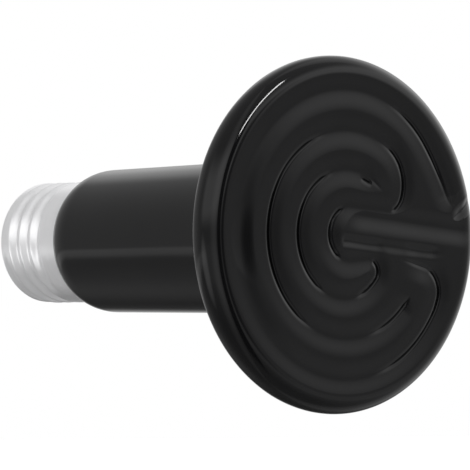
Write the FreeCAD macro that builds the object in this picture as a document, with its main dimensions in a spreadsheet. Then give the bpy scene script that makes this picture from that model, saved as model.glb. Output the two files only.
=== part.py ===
import FreeCAD, Part
import math
import os
import re
import Sketcher

# Ceramic heat emitter: a glazed, hollow-necked ceramic disc on a screw cap.
# Millimetres. +Y runs along the axis from the face to the cap, +Z is up, and the face looks towards -Y.
# The origin is on the axis, in the plane where the rim of the cap's shell meets the ceramic.
# The relief is drawn in the face's own frame: x along the straight rib, y across it, seen from the front.

SIZES = {
    # ceramic body
    "body_length": 80.6,
    "disc_radius": 37.5,
    "rim_thickness": 7.1,
    "rim_band": 0.15,
    "front_edge_setback": 4.2,
    "disc_back_rise": 4.5,
    "neck_blend_setback": 8.0,
    "neck_front_radius": 16.7,
    "neck_end_radius": 15.36,
    "shoulder_setback": 8.6,
    "shoulder_overrun": 2.7,
    "spigot_radius": 11.5,
    "face_thickness": 10.0,
    "bore_radius": 9.2,
    # relief on the face
    "clock_angle": 4.5,
    "groove_depth": 1.4,
    "groove_half_width": 2.3,
    "groove_knee_offset": 1.0,
    "groove_knee_depth": 0.36,
    "groove_reach": 0.06,
    "outer_valley_radius": 30.2,
    "third_valley_radius": 21.7,
    "second_valley_radius": 13.5,
    "rib_end_valley_radius": 5.7,
    "outer_turn_angle": 20.5,
    "lower_turn_angle": -30.0,
    "upper_turn_angle": 58.0,
    "lower_tip_angle": -25.0,
    "lower_tip_radius": 3.2,
    "lower_tip_sweep": 50.0,
    "lower_tip_flank_radius": 9.0,
    "lower_tip_flank_sweep": 60.0,
    "upper_tip_angle": 58.0,
    "upper_tip_lead_radius": 10.0,
    "upper_tip_radius": 4.6,
    "small_tip_radius": 2.8,
    "small_tip_rise": 10.0,
    "rib_offset": 0.2,
    "rib_end": 0.9,
    "rib_half_width": 3.2,
    "rib_channel_depth": 0.7,
    "rib_channel_width": 2.3,
    "rib_channel_length": 28.0,
    "notch_outer_x": 38.0,
    "notch_outer_y": 10.9,
    "notch_inner_x": 30.4,
    "notch_inner_y": 5.3,
    # heating coil, moulded into the ridges
    "coil_cover": 2.4,
    "coil_height": 2.6,
    "coil_width": 2.6,
    "coil_ring_radius": 17.7,
    "coil_corner_radius": 4.0,
    "coil_start": 1.0,
    "coil_end_angle": 100.0,
    # leads and sleeves
    "lead_radius": 0.5,
    "lead_clearance": 0.1,
    "shell_lead_radius": 6.2,
    "lead_over_spigot": 0.9,
    "lead_end_gap": 0.05,
    "sleeve_wall": 0.5,
    "sleeve_clearance": 0.05,
    # screw cap
    "shell_radius": 13.2,
    "shell_wall": 0.3,
    "shell_length": 20.4,
    "shell_end_setback": 2.9,
    "shell_hole_radius": 8.2,
    "cement_start": 0.6,
    "cement_end_gap": 1.0,
    "insulator_inner_length": 3.0,
    "insulator_gap": 4.1,
    "insulator_inner_radius": 9.8,
    "insulator_tip_radius": 5.6,
    "insulator_height": 3.3,
    "contact_radius": 4.9,
    "contact_thickness": 0.35,
    "solder_radius": 2.6,
    "solder_flat_radius": 1.5,
    "solder_height": 0.95,
    "solder_cover": 0.35,
    "cut_margin": 1.0,
}

# radius inside the shell, and heights of the insulator's underside, the spigot's mouth and the cap's tip
SHELL_BORE = "shell_radius - shell_wall"
INSULATOR_LOW = "shell_length - shell_wall - insulator_inner_length"
SPIGOT_TOP = f"{INSULATOR_LOW} - insulator_gap"
TIP_HEIGHT = "shell_length + insulator_height + contact_thickness + solder_height"

document = FreeCAD.newDocument("ceramic_heat_emitter")
sheet = document.addObject("Spreadsheet::Sheet", "Sizes")
for row, (alias, value) in enumerate(SIZES.items(), start=1):
    sheet.set(f"A{row}", alias)
    sheet.set(f"B{row}", str(value))
    sheet.setAlias(f"B{row}", alias)
document.recompute()


def size(alias):
    """The value of one named size, read back from the sheet."""
    return float(sheet.get(alias))


def bound(formula):
    """The formula with each named size replaced by its cell."""
    return re.sub(r"\b[a-z]\w*_\w+\b", lambda word: "Sizes." + word.group(0), formula)


def value_of(formula):
    """The number that a formula in named sizes gives."""
    result = sheet.evalExpression(bound(formula))
    return float(getattr(result, "Value", result))


def new_body(label):
    body = document.addObject("PartDesign::Body", label)
    body.Label = label
    return body


def add_sketch(body, name, role, offset=FreeCAD.Placement()):
    """A sketch on one of the body's own origin planes, moved by an offset in that plane's frame."""
    plane = next(item for item in body.Origin.OriginFeatures if item.Role == role)
    sketch = body.newObject("Sketcher::SketchObject", name)
    sketch.AttachmentSupport = (plane, [""])
    sketch.MapMode = "FlatFace"
    sketch.AttachmentOffset = offset
    return sketch


def bind_point(sketch, edge, end, across, along):
    """Hold one end of an edge at two formulas, measured from the sketch's origin."""
    for kind, formula in (("DistanceX", across), ("DistanceY", along)):
        if value_of(formula) == 0.0:
            axis = -2 if kind == "DistanceX" else -1
            sketch.addConstraint(Sketcher.Constraint("PointOnObject", edge, end, axis))
            continue
        rule = Sketcher.Constraint(kind, -1, 1, edge, end, value_of(formula))
        index = sketch.addConstraint(rule)
        sketch.setExpression(f"Constraints[{index}]", bound(formula))


def reach(corner, other, setback):
    """Formulas of the step from a corner towards another, as long as the setback."""
    span_x = f"({other[0]} - ({corner[0]}))"
    span_y = f"({other[1]} - ({corner[1]}))"
    share = f"({setback}) / sqrt({span_x}^2 + {span_y}^2)"
    return f"{span_x} * {share}", f"{span_y} * {share}"


def soften(corners):
    """Turn each corner that also has a setback and a count into a soft curve in that many flats."""
    outline = []
    for index, corner in enumerate(corners):
        if len(corner) == 2:
            outline.append(corner)
            continue
        x, y, setback, flats = corner
        back = reach(corner, corners[index - 1], setback)
        ahead = reach(corner, corners[(index + 1) % len(corners)], setback)
        for step in range(flats + 1):
            leave = (1 - step / flats) ** 2
            arrive = (step / flats) ** 2
            outline.append((
                f"{x} + {leave} * ({back[0]}) + {arrive} * ({ahead[0]})",
                f"{y} + {leave} * ({back[1]}) + {arrive} * ({ahead[1]})",
            ))
    return outline


def draw_outline(sketch, corners):
    """A closed outline through corners given as pairs of formulas."""
    outline = soften(corners)
    points = [FreeCAD.Vector(value_of(x), value_of(y), 0) for x, y in outline]
    for index, point in enumerate(points):
        sketch.addGeometry(Part.LineSegment(point, points[(index + 1) % len(points)]), False)
    for index in range(len(points)):
        sketch.addConstraint(Sketcher.Constraint("Coincident", index - 1 if index else len(points) - 1, 2, index, 1))
        bind_point(sketch, index, 1, *outline[index])


def revolve(body, kind, name, corners, offset=FreeCAD.Placement()):
    """Turn an outline in the (radius, height along the axis) plane about the plane's own upright axis."""
    sketch = add_sketch(body, name + "_profile", "XY_Plane", offset)
    draw_outline(sketch, corners)
    return turn_sketch(body, kind, name, sketch)


def turn_sketch(body, kind, name, sketch):
    """A full turn of a sketch about its upright axis."""
    feature = body.newObject("PartDesign::" + kind, name)
    feature.Profile = sketch
    feature.ReferenceAxis = (sketch, ["V_Axis"])
    feature.Angle = 360
    sketch.Visibility = False
    document.recompute()
    return feature


def direction(angle):
    """Unit vector at an angle in degrees in a sketch's plane."""
    return FreeCAD.Vector(math.cos(math.radians(angle)), math.sin(math.radians(angle)), 0)


class Route:
    """A smooth planar line made of straight runs and round turns, each starting where the last one ended."""

    def __init__(self, start, heading):
        self.start = FreeCAD.Vector(start)
        self.start_heading = heading
        self.place = FreeCAD.Vector(start)
        self.heading = heading
        self.pieces = []
        self.radii = []

    def run(self, length):
        end = self.place + direction(self.heading) * length
        self.pieces.append(Part.LineSegment(self.place, end))
        self.radii.append(None)
        self.place = end
        return self

    def turn(self, formula, sweep):
        """Turn left by a positive sweep in degrees, and right by a negative one, at a radius given as a formula."""
        radius = value_of(formula)
        side = math.copysign(90.0, sweep)
        centre = self.place + direction(self.heading + side) * radius
        first = self.heading - side
        low, high = sorted((first, first + sweep))
        circle = Part.Circle(centre, FreeCAD.Vector(0, 0, 1), radius)
        self.pieces.append(Part.ArcOfCircle(circle, math.radians(low), math.radians(high)))
        self.radii.append((formula, sweep < 0))
        self.place = centre + direction(first + sweep) * radius
        self.heading += sweep
        return self

    def draw(self, sketch):
        """Put the line into a sketch with its pieces joined tangentially and their radii held."""
        for piece in self.pieces:
            sketch.addGeometry(piece, False)
        for index, radius in enumerate(self.radii):
            if radius is not None:
                rule = sketch.addConstraint(Sketcher.Constraint("Radius", index, value_of(radius[0])))
                sketch.setExpression(f"Constraints[{rule}]", bound(radius[0]))
        for index in range(len(self.pieces) - 1):
            leaving = 1 if self.radii[index] and self.radii[index][1] else 2
            entering = 2 if self.radii[index + 1] and self.radii[index + 1][1] else 1
            sketch.addConstraint(Sketcher.Constraint("Tangent", index, leaving, index + 1, entering))


def face_plane(depth):
    """Offset of a sketch on the XZ plane to a depth behind the face's front, turned to the relief's clock angle."""
    turn = FreeCAD.Rotation(FreeCAD.Vector(0, 0, 1), -size("clock_angle"))
    return FreeCAD.Placement(FreeCAD.Vector(0, 0, size("body_length") - depth), turn)


def upright_plane(point, angle, height):
    """Offset of a sketch on the XY plane to a point of the relief, with its x axis at an angle in the relief."""
    clock = size("clock_angle")
    turn = FreeCAD.Rotation(FreeCAD.Vector(0, 1, 0), clock - angle)
    spot = FreeCAD.Rotation(FreeCAD.Vector(0, 0, 1), -clock).multVec(FreeCAD.Vector(point))
    return FreeCAD.Placement(FreeCAD.Vector(spot.x, height, spot.y), turn)


def sweep(body, kind, name, route, depth, draw_profile):
    """Sweep a profile along a route that lies at a depth behind the face's front."""
    path = add_sketch(body, name + "_path", "XZ_Plane", face_plane(depth))
    route.draw(path)
    across = route.start_heading - 90.0
    place = upright_plane(route.start, across, depth - size("body_length"))
    profile = add_sketch(body, name + "_profile", "XY_Plane", place)
    draw_profile(profile)
    document.recompute()
    pipe = body.newObject("PartDesign::" + kind, name)
    pipe.Profile = profile
    pipe.Spine = (path, [f"Edge{index + 1}" for index in range(len(route.pieces))])
    document.recompute()
    return pipe


def draw_groove(sketch):
    """The groove between two ridges: two sides that fall away faster and faster to a sharp valley."""
    draw_outline(sketch, [
        ("0", "groove_depth"),
        ("groove_knee_offset", "groove_knee_depth"),
        ("groove_half_width", "-groove_reach"),
        ("-groove_half_width", "-groove_reach"),
        ("-groove_knee_offset", "groove_knee_depth"),
    ])


def draw_half_groove(sketch):
    """One side of the groove, closed along the valley's upright."""
    draw_outline(sketch, [
        ("0", "groove_depth"),
        ("groove_knee_offset", "groove_knee_depth"),
        ("groove_half_width", "-groove_reach"),
        ("0", "-groove_reach"),
    ])


def outer_valley():
    """Valley between the rim ring and the second ring, ending round the lower finger."""
    start = size("outer_turn_angle")
    route = Route(direction(start) * size("outer_valley_radius"), start + 90)
    route.turn("outer_valley_radius", 360 - start + size("lower_tip_angle"))
    route.turn("lower_tip_radius", size("lower_tip_sweep"))
    route.turn("lower_tip_flank_radius", size("lower_tip_flank_sweep"))
    return route


def inner_valley():
    """Valley that goes round the third ring, the upper finger, the rib's end, the small finger and the inner ring."""
    start = size("lower_turn_angle")
    ring = size("third_valley_radius")
    route = Route(direction(start) * ring, start - 90)
    leave = size("upper_tip_angle")
    route.turn("third_valley_radius", leave - start - 360)
    lead = size("upper_tip_lead_radius")
    tip = size("upper_tip_radius")
    rib_edge = size("rib_offset") + size("rib_end_valley_radius")
    lead_centre = direction(leave) * (ring - lead)
    switch = math.degrees(math.asin((rib_edge + tip - lead_centre.y) / (lead - tip)))
    route.turn("upper_tip_lead_radius", switch - leave)
    route.turn("upper_tip_radius", -90 - switch)
    route.run(route.place.x - size("rib_end"))
    rise = size("small_tip_rise")
    route.turn("rib_end_valley_radius", 180 + rise)
    return round_small_finger(route, rise)


def round_small_finger(route, rise):
    """Run on to the small finger, turn round its tip and follow the inner ring's outer side."""
    ring = size("second_valley_radius")
    tip = size("small_tip_radius")
    ahead = direction(rise)
    offset = route.place + direction(rise - 90) * tip
    along = offset.dot(ahead)
    run = math.sqrt(along ** 2 - offset.dot(offset) + (ring - tip) ** 2) - along
    route.run(run)
    centre = offset + ahead * run
    join = math.degrees(math.atan2(centre.y, centre.x))
    route.turn("small_tip_radius", join - rise - 90)
    route.turn("second_valley_radius", size("upper_turn_angle") - join - 360)
    return route


def cut_grooves(body):
    """Cut the two valleys and the notch, each with its ends rounded."""
    notch_outer = FreeCAD.Vector(size("notch_outer_x"), size("notch_outer_y"), 0)
    notch_inner = FreeCAD.Vector(size("notch_inner_x"), size("notch_inner_y"), 0)
    along = notch_inner - notch_outer
    notch = Route(notch_outer, math.degrees(math.atan2(along.y, along.x))).run(along.Length)
    for name, route in (("outer_valley", outer_valley()), ("inner_valley", inner_valley())):
        sweep(body, "SubtractivePipe", name, route, 0, draw_groove)
        round_end(body, name + "_start", route.start, route.start_heading + 180)
        round_end(body, name + "_end", route.place, route.heading)
    sweep(body, "SubtractivePipe", "notch", notch, 0, draw_groove)
    round_end(body, "notch_end", notch.place, notch.heading)


def round_end(body, name, point, heading):
    """Round off a groove past its end with a half turn of one of its sides."""
    place = upright_plane(point, heading - 90, -size("body_length"))
    sketch = add_sketch(body, name + "_profile", "XY_Plane", place)
    draw_half_groove(sketch)
    groove = body.newObject("PartDesign::Groove", name)
    groove.Profile = sketch
    groove.ReferenceAxis = (sketch, ["V_Axis"])
    groove.Angle = 180
    groove.Reversed = True
    document.recompute()


def cut_rib_channel(body):
    """Shallow flat channel along both sides of the rib and round its inner end."""
    middle = size("rib_half_width") + size("rib_channel_width") / 2
    length = size("rib_channel_length") - size("rib_end")
    start = FreeCAD.Vector(size("rib_channel_length"), size("rib_offset") + middle, 0)
    route = Route(start, 180).run(length)
    route.turn("rib_half_width + rib_channel_width / 2", 180).run(length)
    half = "rib_channel_width / 2"
    corners = [
        ("-" + half, "-cut_margin"),
        (half, "-cut_margin"),
        (half, "rib_channel_depth"),
        ("-" + half, "rib_channel_depth"),
    ]
    sweep(body, "SubtractivePipe", "rib_channel", route, 0, lambda sketch: draw_outline(sketch, corners))


def coil_route():
    """Middle line of the coil: out along the rib, round under the second ring and back in beside the middle."""
    corner = size("coil_corner_radius")
    inner = size("coil_ring_radius") - corner
    drop = size("rib_offset") - corner
    corner_x = math.sqrt(inner ** 2 - drop ** 2)
    join = math.degrees(math.atan2(drop, corner_x))
    route = Route(FreeCAD.Vector(-size("coil_start"), size("rib_offset"), 0), 0)
    route.run(corner_x + size("coil_start"))
    route.turn("coil_corner_radius", join - 90)
    route.turn("coil_ring_radius", size("coil_end_angle") - 360 - join)
    route.turn("coil_corner_radius", -90)
    end = math.sqrt(size("shell_lead_radius") ** 2 - corner ** 2)
    route.run(inner - end + size("coil_start"))
    return route


def sweep_coil(body, kind):
    """Sweep the coil's square outer shape along its middle line."""
    half = "coil_width / 2"
    corners = [("-" + half, "0"), (half, "0"), (half, "coil_height"), ("-" + half, "coil_height")]
    sweep(body, kind, "coil_line", coil_route(), size("coil_cover"), lambda sketch: draw_outline(sketch, corners))


def shell_lead_angle():
    """Direction, in the relief's frame, of the lead to the shell, near the coil's inner end."""
    return size("coil_end_angle") - math.degrees(math.asin(size("coil_corner_radius") / size("shell_lead_radius")))


def cut_lead_holes(body):
    """A hole from each end of the coil through to the bore."""
    back = "coil_cover + coil_height - body_length"
    floor = "face_thickness + cut_margin - body_length"
    radius = "lead_radius + lead_clearance"
    corners = [("0", back + " - cut_margin"), (radius, back + " - cut_margin"), (radius, floor), ("0", floor)]
    revolve(body, "Groove", "centre_lead_hole", corners)
    angle = shell_lead_angle()
    place = upright_plane(direction(angle) * size("shell_lead_radius"), angle, 0)
    revolve(body, "Groove", "shell_lead_hole", corners, place)


def ceramic_body():
    body = new_body("ceramic_body")
    back_edge_setback = "rim_thickness - front_edge_setback - rim_band"
    outline = [
        ("0", "-body_length"),
        ("disc_radius", "-body_length", "front_edge_setback", 3),
        ("disc_radius", "rim_thickness - body_length", back_edge_setback, 2),
        ("neck_front_radius", "rim_thickness + disc_back_rise - body_length", "neck_blend_setback", 3),
        ("neck_end_radius", "shoulder_overrun", "shoulder_setback", 4),
        ("0", "shoulder_overrun"),
    ]
    revolve(body, "Revolution", "disc_and_neck", outline)
    seat = [
        ("spigot_radius", "0"),
        ("neck_end_radius + cut_margin", "0"),
        ("neck_end_radius + cut_margin", "shoulder_overrun + cut_margin"),
        ("spigot_radius", "shoulder_overrun + cut_margin"),
    ]
    revolve(body, "Groove", "shell_seat", seat)
    spigot = [
        ("0", "-cut_margin"),
        ("spigot_radius", "-cut_margin"),
        ("spigot_radius", SPIGOT_TOP),
        ("0", SPIGOT_TOP),
    ]
    revolve(body, "Revolution", "spigot", spigot)
    bore_floor = "face_thickness - body_length"
    bore = [
        ("0", bore_floor),
        ("bore_radius", bore_floor),
        ("bore_radius", f"{SPIGOT_TOP} + cut_margin"),
        ("0", f"{SPIGOT_TOP} + cut_margin"),
    ]
    revolve(body, "Groove", "bore", bore)
    cut_grooves(body)
    cut_rib_channel(body)
    sweep_coil(body, "SubtractivePipe")
    cut_lead_holes(body)
    return body


def heating_coil():
    body = new_body("heating_coil")
    sweep_coil(body, "AdditivePipe")
    return body


def lead_to_contact():
    body = new_body("lead_to_contact")
    start = "coil_cover + coil_height - body_length"
    end = f"{TIP_HEIGHT} - solder_cover"
    revolve(body, "Revolution", "wire", [("0", start), ("lead_radius", start), ("lead_radius", end), ("0", end)])
    return body


def sleeve_on_contact_lead():
    body = new_body("sleeve_on_contact_lead")
    inner = "lead_radius + sleeve_clearance"
    outer = inner + " + sleeve_wall"
    start = "face_thickness - body_length"
    outline = [(inner, start), (outer, start), (outer, INSULATOR_LOW), (inner, INSULATOR_LOW)]
    revolve(body, "Revolution", "tube", outline)
    return body


def lead_to_shell():
    """Wire from the coil's end down the bore and out over the spigot's mouth to the shell."""
    body = new_body("lead_to_shell")
    angle = shell_lead_angle()
    corners = [
        ("shell_lead_radius", "coil_cover + coil_height - body_length"),
        ("shell_lead_radius", f"{SPIGOT_TOP} + lead_over_spigot"),
        (f"{SHELL_BORE} - lead_end_gap", f"{SPIGOT_TOP} + lead_over_spigot"),
    ]
    path = add_sketch(body, "wire_path", "XY_Plane", upright_plane(FreeCAD.Vector(), angle, 0))
    points = [FreeCAD.Vector(value_of(x), value_of(y), 0) for x, y in corners]
    path.addGeometry(Part.LineSegment(points[0], points[1]), False)
    path.addGeometry(Part.LineSegment(points[1], points[2]), False)
    path.addConstraint(Sketcher.Constraint("Coincident", 0, 2, 1, 1))
    bind_point(path, 0, 1, *corners[0])
    bind_point(path, 1, 1, *corners[1])
    bind_point(path, 1, 2, *corners[2])
    spot = direction(angle - size("clock_angle")) * size("shell_lead_radius")
    place = FreeCAD.Placement(FreeCAD.Vector(spot.x, spot.y, -points[0].y), FreeCAD.Rotation())
    section = add_sketch(body, "wire_section", "XZ_Plane", place)
    section.addGeometry(Part.Circle(FreeCAD.Vector(), FreeCAD.Vector(0, 0, 1), size("lead_radius")), False)
    section.addConstraint(Sketcher.Constraint("Coincident", 0, 3, -1, 1))
    rule = section.addConstraint(Sketcher.Constraint("Radius", 0, size("lead_radius")))
    section.setExpression(f"Constraints[{rule}]", bound("lead_radius"))
    document.recompute()
    wire = body.newObject("PartDesign::AdditivePipe", "wire")
    wire.Profile = section
    wire.Spine = (path, ["Edge1", "Edge2"])
    wire.Transition = "Right corner"
    document.recompute()
    return body


def sleeve_on_shell_lead():
    body = new_body("sleeve_on_shell_lead")
    inner = "lead_radius + sleeve_clearance"
    outer = inner + " + sleeve_wall"
    start = "face_thickness - body_length"
    angle = shell_lead_angle()
    place = upright_plane(direction(angle) * size("shell_lead_radius"), angle, 0)
    outline = [(inner, start), (outer, start), (outer, SPIGOT_TOP), (inner, SPIGOT_TOP)]
    revolve(body, "Revolution", "tube", outline, place)
    return body


def cap_cement():
    body = new_body("cap_cement")
    end = f"{SPIGOT_TOP} - cement_end_gap"
    outline = [
        ("spigot_radius", "cement_start"),
        (SHELL_BORE, "cement_start"),
        (SHELL_BORE, end),
        ("spigot_radius", end),
    ]
    revolve(body, "Revolution", "cement_ring", outline)
    return body


def screw_shell():
    """The drawn shell, with its outside at the thread's crests."""
    body = new_body("screw_shell")
    outline = [
        ("shell_radius", "0"),
        ("shell_radius", "shell_length", "shell_end_setback", 3),
        ("shell_hole_radius", "shell_length"),
        ("shell_hole_radius", "shell_length - shell_wall"),
        (SHELL_BORE, "shell_length - shell_wall", "shell_end_setback", 1),
        (SHELL_BORE, "0"),
    ]
    revolve(body, "Revolution", "drawn_shell", outline)
    return body


def cap_insulator():
    body = new_body("cap_insulator")
    hole = "lead_radius + lead_clearance"
    plate = "shell_length - shell_wall"
    outline = [
        (hole, INSULATOR_LOW),
        ("insulator_inner_radius", INSULATOR_LOW),
        ("insulator_inner_radius", plate),
        ("shell_hole_radius", plate),
        ("shell_hole_radius", "shell_length"),
        ("insulator_tip_radius", "shell_length + insulator_height"),
        (hole, "shell_length + insulator_height"),
    ]
    revolve(body, "Revolution", "insulator", outline)
    return body


def centre_contact():
    body = new_body("centre_contact")
    hole = "lead_radius + lead_clearance"
    low = "shell_length + insulator_height"
    high = low + " + contact_thickness"
    outline = [(hole, low), ("contact_radius", low), ("contact_radius", high), (hole, high)]
    revolve(body, "Revolution", "contact_plate", outline)
    return body


def solder_tip():
    body = new_body("solder_tip")
    low = "shell_length + insulator_height + contact_thickness"
    outline = [
        ("lead_radius", low),
        ("solder_radius", low),
        ("solder_flat_radius", TIP_HEIGHT),
        ("0", TIP_HEIGHT),
        ("0", f"{TIP_HEIGHT} - solder_cover"),
        ("lead_radius", f"{TIP_HEIGHT} - solder_cover"),
    ]
    revolve(body, "Revolution", "solder_drop", outline)
    return body


PARTS = (
    ceramic_body,
    heating_coil,
    lead_to_contact,
    sleeve_on_contact_lead,
    lead_to_shell,
    sleeve_on_shell_lead,
    cap_cement,
    screw_shell,
    cap_insulator,
    centre_contact,
    solder_tip,
)


def check_document(bodies):
    """Stop if a feature failed or a sub-part isn't one valid solid."""
    for item in document.Objects:
        if "Invalid" in item.State or "Error" in item.State:
            raise RuntimeError(f"{item.Name} failed: {item.State}")
    for body in bodies:
        shape = body.Shape
        if shape.isNull() or not shape.isValid() or len(shape.Solids) != 1:
            raise RuntimeError(f"{body.Label} is not one valid solid")


bodies = [make() for make in PARTS]
document.recompute()
check_document(bodies)
os.makedirs("parts", exist_ok=True)
for body in bodies:
    body.Shape.exportStep(f"parts/{body.Label}.step")
    print(body.Label, round(body.Shape.Volume, 2), "mm3")
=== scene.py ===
"""Looks of a ceramic heat emitter: a glazed disc with a serpentine face, on a neck with a screw cap."""

import logging
import math
from dataclasses import dataclass, field
from enum import Enum

import bpy
import numpy as np
from mathutils import Matrix, Vector


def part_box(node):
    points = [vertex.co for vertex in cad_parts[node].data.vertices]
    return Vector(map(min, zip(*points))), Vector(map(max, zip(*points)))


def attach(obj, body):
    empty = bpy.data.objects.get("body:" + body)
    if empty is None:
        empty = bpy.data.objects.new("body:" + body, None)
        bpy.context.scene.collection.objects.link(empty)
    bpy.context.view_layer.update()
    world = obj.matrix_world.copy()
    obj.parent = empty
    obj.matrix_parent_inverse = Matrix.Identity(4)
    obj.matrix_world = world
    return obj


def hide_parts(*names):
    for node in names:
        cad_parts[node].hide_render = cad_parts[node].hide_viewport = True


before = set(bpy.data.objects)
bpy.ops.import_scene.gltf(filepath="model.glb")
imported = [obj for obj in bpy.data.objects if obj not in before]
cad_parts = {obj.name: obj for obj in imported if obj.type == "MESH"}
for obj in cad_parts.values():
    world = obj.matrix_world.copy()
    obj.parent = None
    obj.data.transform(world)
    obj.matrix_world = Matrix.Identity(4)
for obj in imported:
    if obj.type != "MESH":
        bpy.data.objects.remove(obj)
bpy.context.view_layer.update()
MM = 0.001
BODY = "root"
# Painted shade: a dark line painted along the creases' bottoms, where a real crease is shaded by its own
# walls.
CREASE_SHADE_ATTRIBUTE = "crease_line"
# The painted shade along a crease's bottom starts at the first depth and is full at the second.
CREASE_SHADE_START = 0.09 * MM
CREASE_SHADE_FULL = 0.145 * MM
# How far the painted crease shade takes the glaze's reflection away.
CREASE_SHADE_STRENGTH = 0.95

log = logging.getLogger("emitter")


class GrooveSection(Enum):
    """Cross-section of a groove: whether it deepens others, its roundness and its bottom's radius."""

    CREASE = (True, 0.0, 0.1 * MM)
    MARK = (True, 0.05, 0.1 * MM)
    FOLD = (True, 0.5, 0.3 * MM)
    DENT = (False, 0.4, 0.2 * MM)
    VALLEY = (False, 0.45, 0.6 * MM)
    WAVE = (False, 0.8, 0.1 * MM)

    @property
    def deepens(self) -> bool:
        """Whether it adds to the other grooves' depth, and isn't merged with them."""
        return self.value[0]

    @property
    def roundness(self) -> float:
        """How far it is a plain wave, and not a bowl that is steepest in the middle."""
        return self.value[1]

    @property
    def bottom_radius(self) -> float:
        """Radius that softens its bottom."""
        return self.value[2]


class NodeTree:
    """A thin helper that adds nodes to a tree and joins their sockets."""

    def __init__(self, tree: bpy.types.NodeTree) -> None:
        """Keep the tree.

        Args:
            tree: The node tree to write to.
        """
        self.tree = tree

    def add(self, kind: str, **settings: object) -> bpy.types.Node:
        """Add one node.

        Args:
            kind: The node's type name.
            settings: Attributes of the node, set by name.

        Returns:
            The new node.
        """
        node = self.tree.nodes.new(kind)
        for name, value in settings.items():
            setattr(node, name, value)
        return node

    def feed(self, socket: bpy.types.NodeSocket, source: object) -> None:
        """Give a socket a value, or join it to another socket.

        Args:
            socket: The input to feed.
            source: A plain value or an output socket.
        """
        if isinstance(source, bpy.types.NodeSocket):
            self.tree.links.new(source, socket)
        else:
            socket.default_value = source

    def fill(self, node: bpy.types.Node, **values: object) -> bpy.types.Node:
        """Feed several of a node's inputs.

        Args:
            node: The node.
            values: Plain values or output sockets by input name, with an underscore for each space.

        Returns:
            The node itself.
        """
        for name, value in values.items():
            self.feed(node.inputs[name.replace("_", " ")], value)
        return node

    def math(self, operation: str, *sources: object, clamp: bool = False) -> bpy.types.NodeSocket:
        """Add a Math node.

        Args:
            operation: The node's operation.
            sources: Its inputs, in order.
            clamp: Whether the result is held between 0 and 1.

        Returns:
            The node's output.
        """
        node = self.add("ShaderNodeMath", operation=operation, use_clamp=clamp)
        for socket, source in zip(node.inputs, sources):
            self.feed(socket, source)
        return node.outputs[0]

    def product(self, first: object, *others: object) -> object:
        """Multiply values.

        Args:
            first: A number or an output socket.
            others: More of them.

        Returns:
            The product's output.
        """
        for other in others:
            first = self.math("MULTIPLY", first, other)
        return first

    def vector(self, operation: str, *sources: object) -> bpy.types.NodeSocket:
        """Add a Vector Math node.

        Args:
            operation: The node's operation.
            sources: Its inputs, in order.

        Returns:
            The node's value for a dot product, and its vector otherwise.
        """
        node = self.add("ShaderNodeVectorMath", operation=operation)
        for socket, source in zip(node.inputs, sources):
            self.feed(socket, source)
        return node.outputs["Value" if operation == "DOT_PRODUCT" else "Vector"]

    def ramp(
        self, source: object, low: float, high: float, bottom: float, top: float,
    ) -> bpy.types.NodeSocket:
        """Map a value from one range to another, smoothly and with its ends held.

        Args:
            source: The value to map.
            low: Input at which the output is bottom.
            high: Input at which the output is top.
            bottom: Output below low.
            top: Output above high.

        Returns:
            The mapped value.
        """
        node = self.add("ShaderNodeMapRange", interpolation_type="SMOOTHSTEP")
        self.fill(node, Value=source, From_Min=low, From_Max=high, To_Min=bottom, To_Max=top)
        return node.outputs[0]

    def blend(self, share: object, first: object, second: object) -> bpy.types.NodeSocket:
        """Blend two numbers.

        Args:
            share: How much of the second number is taken.
            first: A number or an output socket.
            second: A number or an output socket.

        Returns:
            The blended number.
        """
        kept = self.math("MULTIPLY", first, self.math("SUBTRACT", 1.0, share))
        return self.math("MULTIPLY_ADD", second, share, kept)

    def mix_colour(self, share: object, first: object, second: object) -> bpy.types.NodeSocket:
        """Mix two colours.

        Args:
            share: How much of the second colour is taken.
            first: A colour or an output socket.
            second: A colour or an output socket.

        Returns:
            The mixed colour.
        """
        # The names A and B repeat for each type of data, so the colour sockets go by number.
        node = self.add("ShaderNodeMix", data_type="RGBA")
        self.feed(node.inputs[0], share)
        self.feed(node.inputs[6], first)
        self.feed(node.inputs[7], second)
        return node.outputs[2]

    def group(self, tree: bpy.types.NodeTree, kind: str, **values: object) -> bpy.types.Node:
        """Place a node group.

        Args:
            tree: The group's tree.
            kind: ShaderNodeGroup or GeometryNodeGroup.
            values: Its inputs by name, with an underscore for each space.

        Returns:
            The group's node.
        """
        return self.fill(self.add(kind, node_tree=tree), **values)


def new_group(kind: str, name: str, inputs: dict, outputs: dict) -> tuple:
    """Make an empty node group with named sockets.

    Args:
        kind: ShaderNodeTree or GeometryNodeTree.
        name: The group's name.
        inputs: Socket name to a pair of socket type and default value.
        outputs: Socket name to socket type.

    Returns:
        The helper on the group's tree, its input node and its output node.
    """
    tree = bpy.data.node_groups.new(name, kind)
    for label, (socket_type, default) in inputs.items():
        socket = tree.interface.new_socket(name=label, in_out="INPUT", socket_type=socket_type)
        if default is not None:
            socket.default_value = default
    for label, socket_type in outputs.items():
        tree.interface.new_socket(name=label, in_out="OUTPUT", socket_type=socket_type)
    nodes = NodeTree(tree)
    return nodes, nodes.add("NodeGroupInput"), nodes.add("NodeGroupOutput")


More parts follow.
